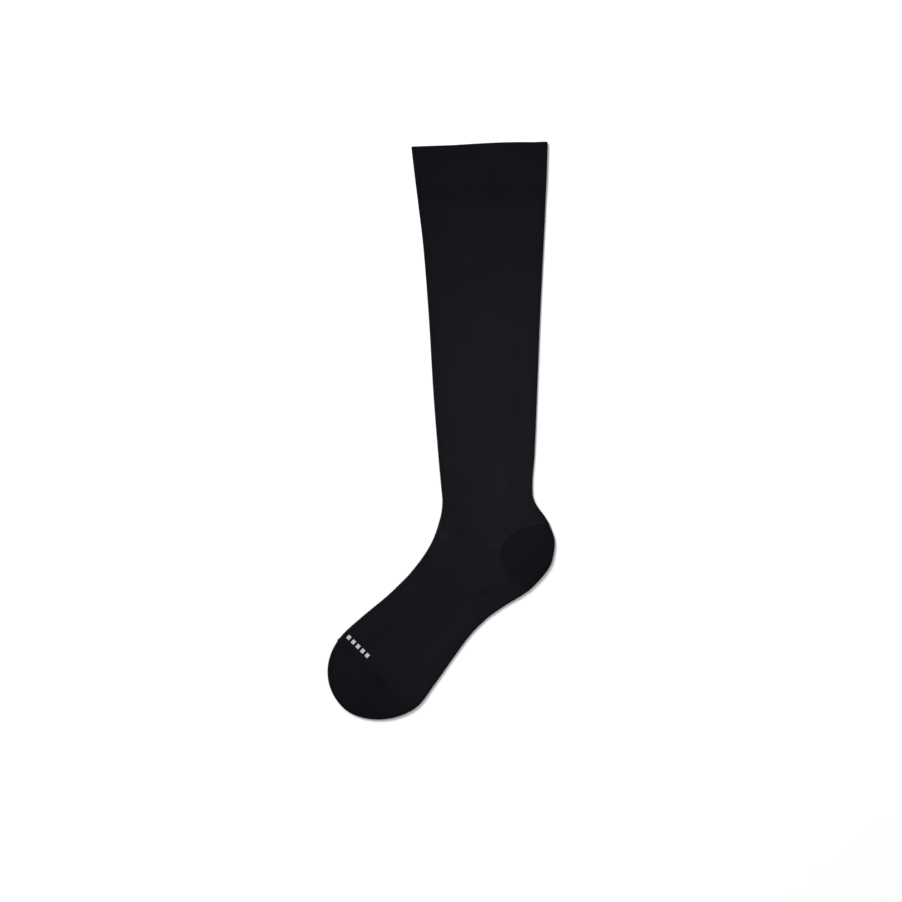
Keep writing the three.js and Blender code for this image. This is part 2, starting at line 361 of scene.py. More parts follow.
# A pale square: its half width as a share of the pitch and its half height in courses, each
# with its soft edge, and how much of its colour the furrows between the stitches keep.
SQUARE_WIDTH = (0.27, 0.3)
SQUARE_HEIGHT = (1.9, 2.3)
SQUARE_END = 0.01
SQUARE_FURROW = 0.45

# The room, in metres. Lamps: the place, the point that it is turned to, and its width.
BROAD_LAMP = ((-1.15, 1.35, 2.0), (0.0, 0.0, 0.0), 1.1)
LOW_LAMP = ((-0.5, 2.2, 0.7), (0.0, -0.1, 0.0), 0.7)
SENSOR_WIDTH = 36.0  # of the camera, in millimetres
FLOOR_REACH = 6.0
FLOOR_CELLS = 8
FLOOR_CLOUD = (3.0, 2.0)
FLOOR_SHADE = 0.985
FLOOR_ROUGHNESS = 0.9
FLOOR_GLOSS = 0.1


def smoothstep(x, low, high):
    """0 below low, 1 above high, and 3t^2 - 2t^3 of the share t between them."""
    share = np.clip((x - low) / (high - low), 0, 1)
    return share * share * (3 - 2 * share)


def ridge(distance, height, width):
    """A rounded ridge along a line: height * exp(-(distance / width)^2)."""
    return height * np.exp(-((distance / width) ** 2))


def hills(at, off, table):
    """Sum of hills: each height * exp(-(u^2 + v^2)), u and v in its own turned half lengths."""
    total = np.zeros(np.broadcast(at, off).shape)
    for row in table:
        hill = Hill(*row)
        turn = math.radians(hill.turn)
        x = at - hill.at
        y = off - hill.off
        u = (x * math.cos(turn) + y * math.sin(turn)) / hill.along
        v = (y * math.cos(turn) - x * math.sin(turn)) / hill.across
        total += hill.height * np.exp(-(u * u + v * v))
    return total


def column_curve(column):
    """A cubic through one column of the sections, its slopes the harmonic mean of their neighbours."""
    at = np.array([Section(*row).at for row in SECTIONS])
    value = np.array([getattr(Section(*row), column) for row in SECTIONS])
    rise = np.diff(value) / np.diff(at)
    before = np.concatenate([rise[:1], rise])
    after = np.concatenate([rise, [0.0]])
    both = before * after
    slope = np.zeros_like(value)
    steady = both > 0
    slope[steady] = 2 * both[steady] / (before + after)[steady]

    def curve(places):
        """The cubic at some places, and the last section's value past it."""
        i = np.clip(np.searchsorted(at, places, side="right") - 1, 0, len(at) - 2)
        width = at[i + 1] - at[i]
        t = np.clip((places - at[i]) / width, 0, 1)
        ease = t * t * (3 - 2 * t)
        leave = t * (1 - t) ** 2 * width * slope[i]
        arrive = t * t * (t - 1) * width * slope[i + 1]
        return value[i] + (value[i + 1] - value[i]) * ease + leave + arrive

    return curve


front_at = column_curve("front")
back_at = column_curve("back")
wall_at = column_curve("wall")
gap_at = column_curve("gap")
TIP_INSET = float(wall_at(TIP)) + FOLD_SLACK


def folds_at(at, inset=0.0):
    """Offsets of the two folds: half the width each side of the section's middle, less the inset.

    Past TOE_START each closes as half * (1 - share^f)^(1/f), f its fullness.
    """
    middle = (back_at(at) - front_at(at)) / 2
    half = (back_at(at) + front_at(at)) / 2 - inset
    share = np.clip((at - TOE_START) / (TOE_LENGTH - inset), 0, 1)
    front, back = (half * (1 - share**full) ** (1 / full) for full in TOE_FULLNESS)
    return middle - front, middle + back


def in_plan(at, off):
    """Plan place of a distance along the middle line and an offset to its back.

    A straight leg, then a turn about a centre BEND_RADIUS in front of it, then a straight foot.
    """
    turned = np.clip((at - LEG_LENGTH) / BEND_RADIUS, 0, BEND_ANGLE)
    along = np.where(at < LEG_LENGTH, at - LEG_LENGTH, np.maximum(at - BEND_END, 0))
    out = BEND_RADIUS + off
    x = out * np.cos(turned) - along * np.sin(turned)
    y = -out * np.sin(turned) - along * np.cos(turned)
    return x, y


def outline_stations(first, last):
    """Distances from the rim at which the outline is taken: a step apart, and closing on the tip."""
    straight = np.arange(max(first, 0.0), min(last, TOE_START), OUTLINE_STEP)
    if last < TOE_START:
        return straight
    angles = np.linspace(0, math.pi / 2, TIP_STEPS)
    return np.append(straight, TOE_START + TOE_LENGTH * np.sin(angles))


def distance_from_folds(at, off):
    """Distance in plan to the nearer fold: the least over the outline's short straight pieces."""
    x, y = in_plan(at, off)
    least = np.full(x.shape, np.inf)
    stations = outline_stations(at.min() - FOLD_REACH, at.max() + FOLD_REACH)
    for fold in folds_at(stations):
        line_x, line_y = in_plan(stations, fold)
        for i in range(len(stations) - 1):
            run_x = line_x[i + 1] - line_x[i]
            run_y = line_y[i + 1] - line_y[i]
            to_x = x - line_x[i]
            to_y = y - line_y[i]
            length = max(run_x * run_x + run_y * run_y, TINY)
            share = np.clip((to_x * run_x + to_y * run_y) / length, 0, 1)
            gone = (to_x - share * run_x) ** 2 + (to_y - share * run_y) ** 2
            np.minimum(least, gone, out=least)
    return np.sqrt(least)


def inside_heel(at, off):
    """How far a place lies inside the heel pocket's edge, in millimetres: above 0 inside.

    The pocket's half width is spread * sqrt(1 - exp(-(off - apex) / opening)).
    """
    depth = np.maximum(off - HEEL_APEX, 0)
    half_width = HEEL_SPREAD * np.sqrt(1 - np.exp(-depth / HEEL_OPENING))
    return np.minimum(half_width - np.abs(at - HEEL_AT), off - HEEL_APEX)


def inside_toe(at, off):
    """How far a place lies past the toe pocket's first course, which bows by a cosine."""
    return at - TOE_COURSE - TOE_BOW * np.cos(off / TOE_BOW_WIDTH)


def soft_form(at, off):
    """Rise of the near side: its creases, and the extra room of the heel pocket."""
    past_apex = smoothstep(off, HEEL_APEX, HEEL_APEX + PUFF_LENGTH)
    puff = HEEL_PUFF * past_apex * smoothstep(inside_heel(at, off), *PUFF_EDGE)
    return hills(at, off, CREASES) + puff


def across(at, share, radius, inset):
    """Offset of a share of the cloth from the shin fold round to the calf fold.

    A quarter turn of the fold, the flat between, and a quarter turn again, by arc length.
    """
    front, back = folds_at(at, inset)
    half = (back - front) / 2
    turn = np.maximum(np.minimum(radius, FOLD_LIMIT * half), LEAST)
    quarter = turn * math.pi / 2
    length = 2 * (half - turn + quarter)
    run = np.minimum(share, 1 - share) * length
    inwards = np.where(run < quarter, turn * (1 - np.cos(run / turn)), turn + run - quarter)
    return np.where(share < 0.5, front + inwards, back - inwards), (front + back) / 2, half


def rim_shift(turned, near_side):
    """How far the askew rim shifts the cloth: by -skew / 2 * turned, -1 to 1 from the shin fold.

    The far side also shifts by -peek * s * sin(pi * s), s the share (1 + turned) / 2.
    """
    share = (1 + turned) / 2
    peek = np.where(near_side, 0, -RIM_PEEK * share * np.sin(share * math.pi))
    return peek - RIM_SKEW / 2 * turned


def place_cloth(at, depth, share, near_side):
    """Places of the cloth, in millimetres, with their offsets and distances from the folds.

    Both sides lie at equal heights about the middle: a quarter round at each fold, and flat
    between. The near side also rises with its soft form. depth goes from 0 at the outer face
    to 1 at the inner one, and moves each place in by that much of the wall.
    """
    wall = wall_at(at)
    middle = wall + gap_at(at) / 2
    inset = depth * (wall + FOLD_SLACK)
    radius = middle - depth * wall
    off, centre, half = across(at, share, radius, inset)
    near = distance_from_folds(at, off)
    rounding = FOLD_TURN * (1 - np.clip((near - inset) / radius, 0, 1))
    half_height = radius * np.sqrt(1 - rounding * rounding)
    fade = smoothstep(near, *CREASE_FADE)
    rise = soft_form(at, off) * fade
    lift = hills(at, off, FAR_CREASES) * fade
    height = np.where(near_side, middle + half_height + rise, middle - half_height + lift)
    turned = (off - centre) / np.maximum(half, LEAST)
    shift = rim_shift(turned, near_side) * (1 - smoothstep(at, 0, RIM_FADE))
    x, y = in_plan(at + shift, off)
    return np.stack([x, y, height], axis=-1), off, near


def grid_normals(points):
    """Unit normals of a ringed grid: the step down the rings crossed with the step round them."""
    down = np.gradient(points, axis=0)
    around = np.roll(points, -1, axis=1) - np.roll(points, 1, axis=1)
    normal = np.cross(down, around)
    length = np.linalg.norm(normal, axis=-1, keepdims=True)
    return normal / np.maximum(length, TINY)


def tone_and_painted_light_of(at, off, near):
    """How pale the knit is, about 1: hills of painted light and shade, painted shade towards the
    folds, and slow changes down the leg.
    """
    upper = TONE_UPPER * (1 - smoothstep(at, *TONE_UPPER_END))
    foot = TONE_FOOT * smoothstep(at, *TONE_FOOT_START)
    # Painted shade where the cloth rounds away at the folds.
    fold = FOLD_PAINTED_SHADE * (1 - smoothstep(near, 0, FOLD_PAINTED_SHADE_WIDTH))
    return 1 + upper + foot + fold + hills(at, off, PAINTED_LIGHT_HILLS)


def pocket_of(at, off):
    """How close the knit is: the most of its smoothsteps on the welt and in the two pockets."""
    soft = smoothstep(at, *HEEL_SOFTENS)
    inside = inside_heel(at, off) + HEEL_SOFT_OUT * soft
    heel = CLOSE_HEEL * smoothstep(inside / (HEEL_CRISP + HEEL_SOFT * soft), -1, 1)
    past = inside_toe(at, off)
    toe = sum(share * smoothstep(past, low, high) for share, low, high in CLOSE_TOE)
    toe = toe * (CLOSE_INSTEP + (1 - CLOSE_INSTEP) * smoothstep(off, *CLOSE_INSTEP_END))
    welt = CLOSE_WELT * (1 - smoothstep(at, 0, WELT_THINS))
    return np.maximum(np.maximum(heel, toe), welt)


def dot_strength(at, off):
    """Where the dots show: from under the welt down to a slanting edge at the ankle.

    They are uneven, by a level and two crossed sine waves.
    """
    end = DOT_END_SHIN + DOT_END_SLANT * np.maximum(off - DOT_END_OFF, 0)
    shown = smoothstep(at, *DOT_START) * (1 - smoothstep(at - end, *DOT_FADE))
    shown = shown * (1 - smoothstep(inside_heel(at, off), *DOT_HEEL))
    drift = sum(DOT_DRIFT * np.sin(at / down + off / over) for down, over in DOT_WAVES)
    return shown * (DOT_LEVEL + drift)


def dot_wave(wale, at):
    """1 on each dot and -1 on each gap: every second wale, shifted by one wale a row."""
    return np.cos(math.pi * (wale - 0.5)) * np.cos(math.pi * at / (2 * COURSE))


def knit_relief(at, off, wale, sizes):
    """Height of the knit over the smooth cloth, in millimetres.

    Ribs: a cosine on each wale, deepest on the welt. Dots: the product of two cosines. Heel:
    a ridge along the pocket's edge, with a furrow beside it. Toe: a linked seam, a cosine of
    loops along it, and past its end a low ridge.
    """
    heel = inside_heel(at, off)
    toe = inside_toe(at, off)
    on_welt = 1 - smoothstep(at, WELT_THINS, WELT_THIN)
    on_foot = smoothstep(at, *RIB_FOOT_START)
    in_pocket = np.maximum(smoothstep(heel, -1, 1), smoothstep(toe, -1, 1))
    share = RIB_LEG + (1 - RIB_LEG) * on_welt + RIB_FOOT * on_foot
    depth = sizes.wale_depth / MM * share * (1 + RIB_POCKET * in_pocket)
    ribs = -depth * np.cos(2 * math.pi * wale)
    gore = ridge(heel, GORE_HEIGHT, EDGE_WIDTH) - ridge(heel + FURROW_OUT, FURROW_DEPTH, EDGE_WIDTH)
    gore = gore * smoothstep(off, *GORE_START)
    linked = 1 - smoothstep(off, *SEAM_FADE)
    loops = 1 + SEAM_LOOPS * np.cos(2 * math.pi * wale)
    seam = linked * loops * ridge(toe, SEAM_HEIGHT, SEAM_WIDTH)
    edge = (1 - linked) * ridge(toe, TOE_EDGE_HEIGHT, EDGE_WIDTH)
    front, back = folds_at(at)
    narrow = np.clip((back - front) / RIB_WIDTH, 0, 1)
    wave = dot_wave(wale, at)
    dots = np.where(wave > 0, wave, DOT_GAP * wave) * dot_strength(at, off)
    return (ribs + gore + seam + edge) * narrow + sizes.dot_height / MM * dots


def ring_columns(zone, wales):
    """Shares across, sides and wale numbers round one ring: over the near side and home again.

    Where the far side has one point to a wale, it is on the wale's middle line.
    """
    near = np.linspace(0, 1, zone.near_points * wales + 1)
    count = zone.far_points * wales
    if zone.far_points == 1:
        far = 1 - (np.arange(count) + 0.5) / count
    else:
        far = np.linspace(1, 0, count + 1)[1:-1]
    share = np.concatenate([near, far])
    near_side = np.arange(len(share)) < len(near)
    wale = np.concatenate([near * wales, (2 - far) * wales])
    return share, near_side, wale


def even_rows(first, last, row):
    """Distances from first to last, about one row apart."""
    return np.linspace(first, last, max(2, round((last - first) / row)) + 1)


def closing_rows(first, inset, row):
    """Rows of the toe: even up to TOE_START, then TOE_LENGTH * sin of even angles, without the tip."""
    length = TOE_LENGTH - inset
    angles = np.linspace(0, math.pi / 2, round(CLOSING * length / row) + 1)[:-1]
    straight = even_rows(first, TOE_START, row)[:-1]
    return np.concatenate([straight, TOE_START + length * np.sin(angles)])


def tip_of(inset):
    """The one point where all wales meet, as far in from the outline's tip as the inset."""
    x, y = in_plan(np.array(TIP - inset), (back_at(TIP) - front_at(TIP)) / 2)
    return np.array([[x, y, wall_at(TIP) + gap_at(TIP) / 2]])


def outline_centre():
    """Middle of the outline's box in plan, which is the part's origin."""
    stations = outline_stations(0, TIP)
    folds = np.concatenate([stations, stations])
    x, y = in_plan(folds, np.concatenate(folds_at(stations)))
    turned = np.linspace(-1, 1, RIM_STEPS)
    front, back = folds_at(np.array(0.0))
    off = (front + back) / 2 + turned * (back - front) / 2
    _, rim_y = in_plan(rim_shift(turned, False), off)
    return np.array([(x.min() + x.max()) / 2, (y.min() + rim_y.max()) / 2, 0.0])


CENTRE = outline_centre()


class Face(NamedTuple):
    """One face of a zone, its rings in order round the shell: a grid of each."""

    points: np.ndarray
    normals: np.ndarray
    at: np.ndarray
    off: np.ndarray
    near: np.ndarray


def outer_rows(name, zone):
    """Rows of the outer face, from the rim or the zone's first edge, with their depths."""
    if name == "toe":
        at = closing_rows(zone.first, 0.0, zone.row)
    else:
        at = even_rows(zone.first, zone.last, zone.row)
    depth = np.zeros_like(at)
    if name == "welt":
        edge = np.array(RIM_EDGE[-2:0:-1])
        at = np.concatenate([edge[:, 0], at])
        depth = np.concatenate([edge[:, 1], depth])
    return at, depth


def outer_face(name, zone, columns, sizes):
    """The outer face with its knit. On the far side the relief is pressed up, off the floor.

    One more row before and behind gives the normals at the edges, and is dropped again.
    """
    share, near_side, wale = columns
    at, depth = outer_rows(name, zone)
    before = RIM_EDGE[-1] if name == "welt" else (2 * at[0] - at[1], 0.0)
    after = min(2 * at[-1] - at[-2], LAST_RING)
    at = np.concatenate([[before[0]], at, [after]])[:, None]
    depth = np.concatenate([[before[1]], depth, [0.0]])[:, None]
    plain, off, near = place_cloth(at, depth, share[None, :], near_side[None, :])
    relief = knit_relief(at, off, wale[None, :], sizes) * (1 - depth)
    highest = (sizes.wale_depth + sizes.dot_height) / MM
    pressed = np.minimum(relief, highest) - highest
    resting = relief + smoothstep(near, 0, wall_at(at)) * (pressed - relief)
    relief = np.where(near_side, relief, resting)
    knitted = plain + relief[..., None] * grid_normals(plain)
    grids = (knitted, grid_normals(knitted), np.broadcast_to(at, off.shape), off, near)
    return Face(*(grid[1:-1] for grid in grids))


def inner_face(name, zone, columns):
    """The plain inner face, in fewer rows, from the far edge or the tip back to the first edge."""
    share, near_side, _ = columns
    if name == "toe":
        at = closing_rows(zone.first, TIP_INSET, zone.inner_row)
    else:
        first = RIM_EDGE[-1][0] if name == "welt" else zone.first
        at = even_rows(first, zone.last, zone.inner_row)
    at = at[::-1, None]
    plain, off, near = place_cloth(at, np.ones_like(at), share[None, :], near_side[None, :])
    return Face(plain, grid_normals(plain), np.broadcast_to(at, off.shape), off, near)


def loop_faces(rings, columns, closed):
    """Quads between neighbouring rings: down one column and back up the next.

    Where the rings make a closed loop, the last one joins the first.
    """
    ring = np.arange(rings if closed else rings - 1)[:, None]
    here = ring * columns
    below = (ring + 1) % rings * columns
    column = np.arange(columns)[None, :]
    beside = (column + 1) % columns
    corners = [here + column, below + column, below + beside, here + beside]
    return np.stack(corners, axis=-1).reshape(-1, 4)


def fan_faces(rings, columns):
    """Triangles that close the first and the last ring on their own tips."""
    column = np.arange(columns)
    beside = (column + 1) % columns
    tip = np.full(columns, rings * columns)
    last = (rings - 1) * columns
    first = np.stack([tip, column, beside], axis=-1)
    final = np.stack([last + column, tip + 1, last + beside], axis=-1)
    return np.concatenate([first, final])


def make_mesh(name, points, quads, fans=()):
    """A mesh from arrays of points, in metres, and of corners."""
    mesh = bpy.data.meshes.new(name)
    corners = np.concatenate([quads.ravel(), np.ravel(fans)]).astype(np.int32)
    starts = np.concatenate([np.arange(len(quads)) * 4, quads.size + np.arange(len(fans)) * 3])
    mesh.vertices.add(len(points))
    mesh.vertices.foreach_set("co", points.astype(np.float32).ravel())
    mesh.loops.add(len(corners))
    mesh.loops.foreach_set("vertex_index", corners)
    mesh.polygons.add(len(starts))
    mesh.polygons.foreach_set("loop_start", starts.astype(np.int32))
    mesh.update(calc_edges=True)
    if mesh.validate():
        raise RuntimeError(f"the mesh of {name} has faces that can't be")
    mesh.polygons.foreach_set("use_smooth", np.ones(len(starts), dtype=bool))
    return mesh


def set_wale_map(mesh, wale, at, all_round):
    """A UV map in wales and courses. Round the seam at the shin the wales run on past the last."""
    layer = mesh.uv_layers.new(name="knit")
    corners = np.zeros(len(mesh.loops), dtype=np.int32)
    mesh.loops.foreach_get("vertex_index", corners)
    u = wale[corners]
    v = at[corners] / COURSE
    face = np.zeros(len(mesh.polygons), dtype=np.int32)
    mesh.polygons.foreach_get("loop_start", face)
    sizes = np.diff(np.append(face, len(corners)))
    highest = np.repeat(np.maximum.reduceat(u, face), sizes)
    u[(highest > all_round * (1 - SEAM_SHARE)) & (u < all_round * SEAM_SHARE)] += all_round
    layer.data.foreach_set("uv", np.stack([u, v], axis=-1).astype(np.float32).ravel())


def set_mask(mesh, name, values):
    """One number a point, which the material reads by its name."""
    layer = mesh.attributes.new(name, "FLOAT", "POINT")
    layer.data.foreach_set("value", values.astype(np.float32))


def flat_cut(zone):
    """Width, length and area of a zone's cloth, cut open along the shin and laid out flat.

    The way round each ring is two flats and four quarter turns. Where the middle line bends,
    a course is longer at the back: the way round times (radius + mean offset) / radius.
    """
    at = np.linspace(zone.first, zone.last, CUT_STEPS)
    front, back = folds_at(at)
    turn = np.minimum(wall_at(at) + gap_at(at) / 2, FOLD_LIMIT * (back - front) / 2)
    ring = 2 * (back - front) + turn * (2 * math.pi - 4)
    bent = (at > LEG_LENGTH) & (at < BEND_END)
    stretch = np.where(bent, 1 + (front + back) / 2 / BEND_RADIUS, 1.0)
    width = float(ring.max())
    length = zone.last - zone.first
    area = float((ring * stretch).mean()) * length
    return width, length, min(area, width * length)


def declare_zone(piece, zone):
    """Attach a zone to its body and hide the CAD part that it stands for. The cut of its cloth is
    worked out, but nothing is done with it.
    """
    width, length, area = flat_cut(zone)
    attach(piece, BODY)
    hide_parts(NODE)
    width * MM
    length * MM
    area * MM * MM


def knit_zone(context, name):
    """One zone as a closed shell: its inner face, its outer face, and the edges between them.

    The toe's far end has no edge: there each face closes on a tip.
    """
    zone = ZONES[name]
    sizes = context.scene.stocking_knit
    columns = ring_columns(zone, sizes.wales)
    inner = inner_face(name, zone, columns)
    outer = outer_face(name, zone, columns, sizes)
    points, normals, at, off, near = (np.concatenate(pair) for pair in zip(inner, outer))
    rings, count = off.shape
    wale = np.tile(columns[2], rings)
    points, normals = points.reshape(-1, 3), normals.reshape(-1, 3)
    at, off, near = at.ravel(), off.ravel(), near.ravel()
    closed = name != "toe"
    quads = loop_faces(rings, count, closed)
    fans = ()
    if not closed:
        outwards = np.array([[-math.sin(BEND_ANGLE), -math.cos(BEND_ANGLE), 0.0]])
        points = np.concatenate([points, tip_of(TIP_INSET), tip_of(0.0)])
        normals = np.concatenate([normals, -outwards, outwards])
        at = np.append(at, [TIP - TIP_INSET, TIP])
        off = np.append(off, [0.0, 0.0])
        near = np.append(near, [TIP_INSET, 0.0])
        wale = np.append(wale, [0.0, 0.0])
        fans = fan_faces(rings, count)
    mesh = make_mesh(name, (points - CENTRE) * MM, quads, fans)
    mesh.normals_split_custom_set_from_vertices(normals.astype(np.float32))
    set_wale_map(mesh, wale, at, 2 * sizes.wales)
    set_mask(mesh, "dots", dot_strength(at, off))
    set_mask(mesh, "pocket", pocket_of(at, off))
    # The tone mask holds the knit's slow changes together with painted light and shade.
    tone_and_painted_light = tone_and_painted_light_of(at, off, near)
    # Painted shade over the whole inner face of the tube.
    tone_and_painted_light[: inner.off.size] *= INSIDE_PAINTED_SHADE
    set_mask(mesh, "tone_and_painted_light", tone_and_painted_light)
    mesh.materials.append(knit_material(context.scene.stocking_looks, name))
    piece = bpy.data.objects.new(name, mesh)
    context.scene.collection.objects.link(piece)
    declare_zone(piece, zone)


class Value:
    """A socket that gives a number. An expression on it adds its Math nodes."""

    def __init__(self, shader, socket):
        self.shader = shader
        self.socket = socket

    def math(self, operation, *others):
        """This value and the others through one Math node."""
        return self.shader.math(operation, self, *others)

    def step(self, low, high):
        """0 below low and 1 above high, smooth between them."""
        settings = {"interpolation_type": "SMOOTHSTEP"}
        inputs = {"Value": self, "From Min": low, "From Max": high}
        return self.shader.node("ShaderNodeMapRange", settings, inputs)

    def __add__(self, other):
        return self.math("ADD", other)

    def __sub__(self, other):
        return self.math("SUBTRACT", other)

    def __rsub__(self, other):
        return self.shader.math("SUBTRACT", other, self)

    def __mul__(self, other):
        return self.math("MULTIPLY", other)

    def __truediv__(self, other):
        return self.math("DIVIDE", other)

    def __rtruediv__(self, other):
        return self.shader.math("DIVIDE", other, self)

    __radd__ = __add__
    __rmul__ = __mul__


class Shader:
    """A material's node tree, with one method that adds a node."""

    def __init__(self, name):
        self.material = bpy.data.materials.new(name)
        self.material.use_nodes = True
        self.tree = self.material.node_tree
        self.tree.nodes.clear()

    def node(self, kind, settings=None, inputs=None, output=0):
        """A node with its settings, then its sockets' values or links. Gives one of its outputs."""
        made = self.tree.nodes.new(kind)
        for name, value in (settings or {}).items():
            setattr(made, name, value)
        for socket, value in (inputs or {}).items():
            if isinstance(value, Value):
                self.tree.links.new(value.socket, made.inputs[socket])
            else:
                made.inputs[socket].default_value = value
        return Value(self, made.outputs[output]) if made.outputs else made

    def math(self, operation, *terms):
        """One Math node on values and numbers."""
        return self.node("ShaderNodeMath", {"operation": operation}, dict(enumerate(terms)))

    def mask(self, name):
        """One number a point, by its name."""
        return self.node("ShaderNodeAttribute", {"attribute_name": name}, output="Fac")

    def noise(self, scale, detail):
        """Fine unevenness in the piece's own place, about 0.5."""
        place = self.node("ShaderNodeTexCoord", output="Object")
        return self.node("ShaderNodeTexNoise", {}, {"Vector": place, "Scale": scale, "Detail": detail})

    def mix(self, share, first, second):
        """A colour between two others."""
        settings = {"data_type": "RGBA"}
        return self.node("ShaderNodeMix", settings, {0: share, 6: first, 7: second}, output=2)

    def finish(self, inputs):
        """The surface from its sockets, put out as the material."""
        surface = self.node("ShaderNodeBsdfPrincipled", {}, inputs)
        self.node("ShaderNodeOutputMaterial", {}, {"Surface": surface})
        return self.material


def opaque(colour, factor=1.0):
    """A colour with alpha, made lighter or darker by a factor."""
    return (*(channel * factor for channel in colour), 1.0)


def stitch_height(wale, course):
    """Height of a V-shaped stitch: two round legs to a wale, twisted by the course.

    a is the distance from the wale's middle line, 0 to 0.5. The legs are sin(2 pi a) to the
    power of their bulge, and the strand along them is a cosine of the course plus its twist * a.
    """
    aside = (wale.math("FRACT") - 0.5).math("ABSOLUTE")
    leg = (aside * (2 * math.pi)).math("SINE").math("ABSOLUTE").math("POWER", LEG_BULGE)
    strand = ((course + aside * LEG_TWIST) * (2 * math.pi)).math("COSINE")
    return leg * (strand * STRAND_DEPTH + (1 - STRAND_DEPTH))


def dot_pattern_and_painted_light(wale, course, looks):
    """How much paler the dots are and how much darker the gaps, from the wave that raises them: the
    knit's dot pattern, with painted highlight on the raised dots and painted shade in the gaps.
    """
    wave = ((wale - 0.5) * math.pi).math("COSINE") * (course * (math.pi / 2)).math("COSINE")
    dots = wale.shader.mask("dots")
    lit = wave.step(*DOT_EDGE) * dots
    painted_shade_gaps = (wave * -1).step(*DOT_EDGE) * dots
    return lit * looks.dot_contrast - painted_shade_gaps * (looks.dot_contrast * GAP_PAINTED_SHADE)


def pale_squares(wale, course, looks):
    """1 on a plain row of small squares of pale stitches before the toe, and 0 beside them."""
    along = (wale - looks.square_start) / looks.square_pitch
    square = (along.math("FRACT") - 0.5).math("ABSOLUTE")
    inside = 1 - square.step(*SQUARE_WIDTH)
    row = 1 - (course - looks.square_course).math("ABSOLUTE").step(*SQUARE_HEIGHT)
    started = along.step(-SQUARE_END, SQUARE_END)
    ended = along.step(looks.square_count - SQUARE_END, looks.square_count + SQUARE_END)
    return inside * row * (started * (1 - ended))


def knit_material(looks, name):
    """Black knit: near-black yarn with a soft sheen, paler dots partly painted as highlight, painted
    light and shade from the tone mask, darker pockets and fine stitches.
    """
    shader = Shader(f"black_knit_{name}")
    split = {"Vector": shader.node("ShaderNodeUVMap", {"uv_map": "knit"})}
    wale = shader.node("ShaderNodeSeparateXYZ", {}, split, output="X")
    course = shader.node("ShaderNodeSeparateXYZ", {}, split, output="Y")
    cloud = shader.noise(*CLOUD)
    fuzz = shader.noise(*FUZZ)
    level = (cloud - 0.5) * CLOUD_STRENGTH + (fuzz - 0.5) * FUZZ_STRENGTH + 1.0
    # The dot pattern, with painted highlight on the dots and painted shade in the gaps.
    level = level + dot_pattern_and_painted_light(wale, course, looks)
    # The tone mask brings in painted light and shade; the pocket mask is the closer knit's own darker
    # colour.
    level = level * shader.mask("tone_and_painted_light") * (1 - shader.mask("pocket") * looks.pocket_shade)
    colour = shader.mix(level / LIGHTEST, opaque((0, 0, 0)), opaque(looks.yarn, LIGHTEST))
    stitches = stitch_height(wale, course)
    if name == "toe":
        kept = SQUARE_FURROW + stitches * (1 - SQUARE_FURROW)
        colour = shader.mix(pale_squares(wale, course, looks) * kept, colour, opaque(looks.squares))
    relief = {
        "Height": stitches + fuzz * FUZZ_HEIGHT,
        "Strength": looks.stitch_strength,
        "Distance": looks.stitch_height,
    }
    return shader.finish(
        {
            "Base Color": colour,
            "Roughness": looks.roughness,
            "Specular IOR Level": looks.gloss,
            "Specular Tint": opaque(looks.sheen_colour),
            "Sheen Weight": looks.sheen,
            "Sheen Roughness": SHEEN_ROUGHNESS,
            "Sheen Tint": opaque(looks.sheen_colour),
            "Normal": shader.node("ShaderNodeBump", {}, relief),
        }
    )


def floor_material(looks):
    """A plain pale floor, with a faint unevenness."""
    shader = Shader("pale_floor")
    cloud = shader.noise(*FLOOR_CLOUD)
    colour = shader.mix(cloud, opaque(looks.floor, FLOOR_SHADE), opaque(looks.floor))
    return shader.finish(
        {"Base Color": colour, "Roughness": FLOOR_ROUGHNESS, "Specular IOR Level": FLOOR_GLOSS}
    )


def lay_floor(scene):
    """A flat square of equal cells at height 0, far wider than the stocking."""
    lines = FLOOR_CELLS + 1
    side = np.linspace(-FLOOR_REACH, FLOOR_REACH, lines)
    x, y = np.meshgrid(side, side)
    points = np.stack([x.ravel(), y.ravel(), np.zeros(x.size)], axis=-1)
    cell = np.arange(FLOOR_CELLS)
    corner = (cell[:, None] * lines + cell[None, :]).ravel()
    quads = np.stack([corner, corner + 1, corner + lines + 1, corner + lines], axis=-1)
    mesh = make_mesh("floor", points, quads)
    mesh.materials.append(floor_material(scene.stocking_looks))
    floor = bpy.data.objects.new("floor", mesh)
    scene.collection.objects.link(floor)


def hang_lamp(scene, name, lamp, power):
    """A square soft lamp at its place, turned towards its aim."""
    place, aim, width = lamp
    light = bpy.data.lights.new(name, "AREA")
    light.size = width
    light.energy = power
    holder = bpy.data.objects.new(name, light)
    holder.location = place
    holder.rotation_euler = (Vector(aim) - Vector(place)).to_track_quat("-Z", "Y").to_euler()
    scene.collection.objects.link(holder)


def light_room(scene):
    """An even pale room, one broad lamp at the upper left and one low lamp beyond the rim."""
    stage = scene.stocking_stage
    world = bpy.data.worlds.new("pale_room")
    world.use_nodes = True
    background = world.node_tree.nodes["Background"]
    background.inputs["Color"].default_value = opaque((1, 1, 1))
    background.inputs["Strength"].default_value = stage.room_light
    scene.world = world
    hang_lamp(scene, "key", BROAD_LAMP, stage.key_power)
    hang_lamp(scene, "low", LOW_LAMP, stage.low_power)


